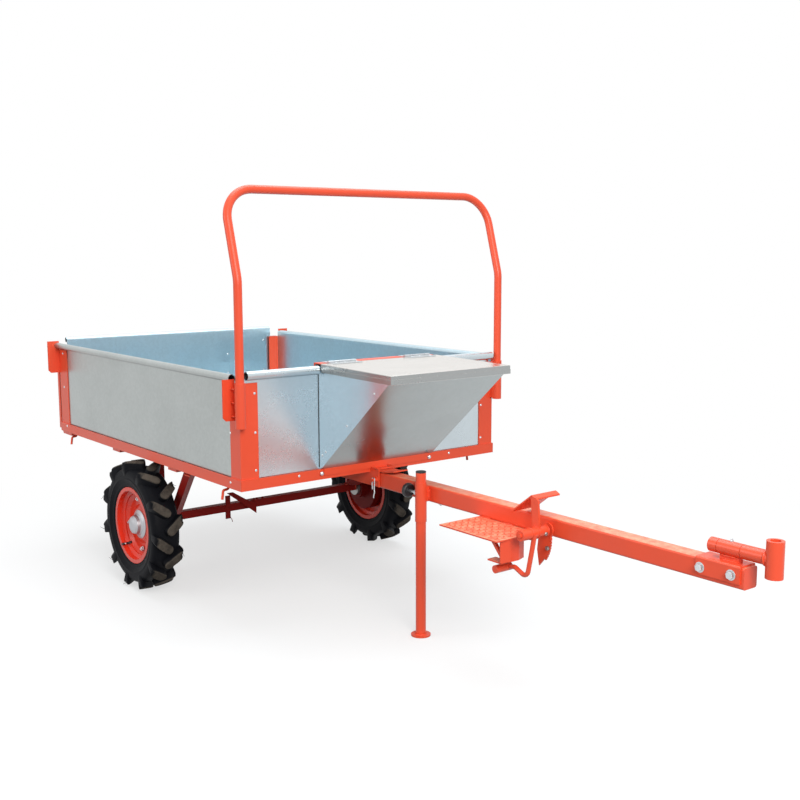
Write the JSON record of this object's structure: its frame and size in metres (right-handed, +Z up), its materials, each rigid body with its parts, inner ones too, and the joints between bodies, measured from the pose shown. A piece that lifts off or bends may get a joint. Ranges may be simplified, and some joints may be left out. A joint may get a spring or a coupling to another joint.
{
  "type": "walk-behind tractor trailer",
  "caption": "Galvanised box trailer for a walk-behind tractor: braked axle, tipping bed, seat box with lid, hoop, drawbar with stand, footrest, brake lever and swivel hitch.",
  "frame": {"origin": "on the ground, at the middle of the overall length and width", "axes": "+X towards the hitch, +Y to the left, +Z up"},
  "size_m": [2.8815, 1.09, 1.3467],
  "materials": {
    "paint_red": "orange-red enamel over folded and welded steel",
    "hub_red": "dark red enamel",
    "galvanised": "galvanised sheet with fine spangle",
    "zinc_plated": "zinc plated",
    "bare_steel": "turned steel",
    "rim_red": "glossy orange-red enamel on pressed steel",
    "tyre_rubber": "tractor tread rubber",
    "black_plastic": "moulded black plastic"
  },
  "bodies": {
    "drawbar_frame": {"drawbar": "paint_red", "drawbar_heel": "paint_red", "stand_sleeve": "paint_red", "stand_clamp": "zinc_plated", "stand_knob": "black_plastic", "footrest": "paint_red", "brake_shaft": "zinc_plated", "brake_pedal": "paint_red", "brake_lever": "paint_red", "ratchet_sector": "paint_red", "hitch_saddle": "paint_red", "swivel_barrel": "paint_red"},
    "bed": {"side_rails": "paint_red", "end_rails": "paint_red", "cross_members": "paint_red", "floor": "galvanised", "corner_posts": "paint_red", "roll_guards": "paint_red", "side_walls": "galvanised", "front_wall": "galvanised", "hoop": "paint_red", "hoop_sleeves": "paint_red", "seat_box": "galvanised", "front_rail_doubler": "paint_red", "lid_rail": "paint_red", "lid_hinges_fixed": "zinc_plated", "tailgate_brackets": "paint_red", "axle_beam": "paint_red", "spindles": "bare_steel", "brake_backplates": "hub_red", "axle_struts": "paint_red", "guide_channel": "paint_red", "lock_pin": "paint_red", "rope_hooks": "paint_red"},
    "lid": {"seat_lid": "galvanised", "lid_hinges_moving": "zinc_plated"},
    "tailgate": {"tailgate_sheet": "galvanised", "tailgate_frame": "paint_red", "tailgate_hinges": "paint_red", "tailgate_latches": "paint_red"},
    "wheel_right": {"tyre_right": "tyre_rubber", "rim_right": "rim_red", "hub_right": "hub_red", "hub_cap_right": "zinc_plated"},
    "wheel_left": {"tyre_left": "tyre_rubber", "rim_left": "rim_red", "hub_left": "hub_red", "hub_cap_left": "zinc_plated"},
    "stand": {"stand_leg": "paint_red", "stand_cap": "black_plastic"},
    "swivel": {"hitch_swivel": "paint_red"}
  },
  "joints": [
    {"name": "bed_tip", "type": "hinge", "parent": "drawbar_frame", "child": "bed", "pos_m": [-0.7155, 0, 0.437], "axis": [0, -1, 0], "range_deg": [0, 33]},
    {"name": "lid_hinge", "type": "hinge", "parent": "bed", "child": "lid", "pos_m": [-0.002, 0, 0.821], "axis": [0, -1, 0], "range_deg": [0, 170]},
    {"name": "tailgate_hinge", "type": "hinge", "parent": "bed", "child": "tailgate", "pos_m": [-1.432, 0, 0.458], "axis": [0, -1, 0], "range_deg": [0, 180]},
    {"name": "wheel_right_spin", "type": "hinge", "parent": "bed", "child": "wheel_right", "pos_m": [-0.7155, -0.495, 0.222], "axis": [0, 1, 0], "continuous": true},
    {"name": "wheel_left_spin", "type": "hinge", "parent": "bed", "child": "wheel_left", "pos_m": [-0.7155, 0.495, 0.222], "axis": [0, 1, 0], "continuous": true},
    {"name": "stand_slide", "type": "slide", "parent": "drawbar_frame", "child": "stand", "axis": [0, 0, 1], "range_m": [0, 0.17]},
    {"name": "hitch_swivel", "type": "hinge", "parent": "drawbar_frame", "child": "swivel", "pos_m": [1.4205, 0, 0.493], "axis": [1, 0, 0], "continuous": true}
  ]
}
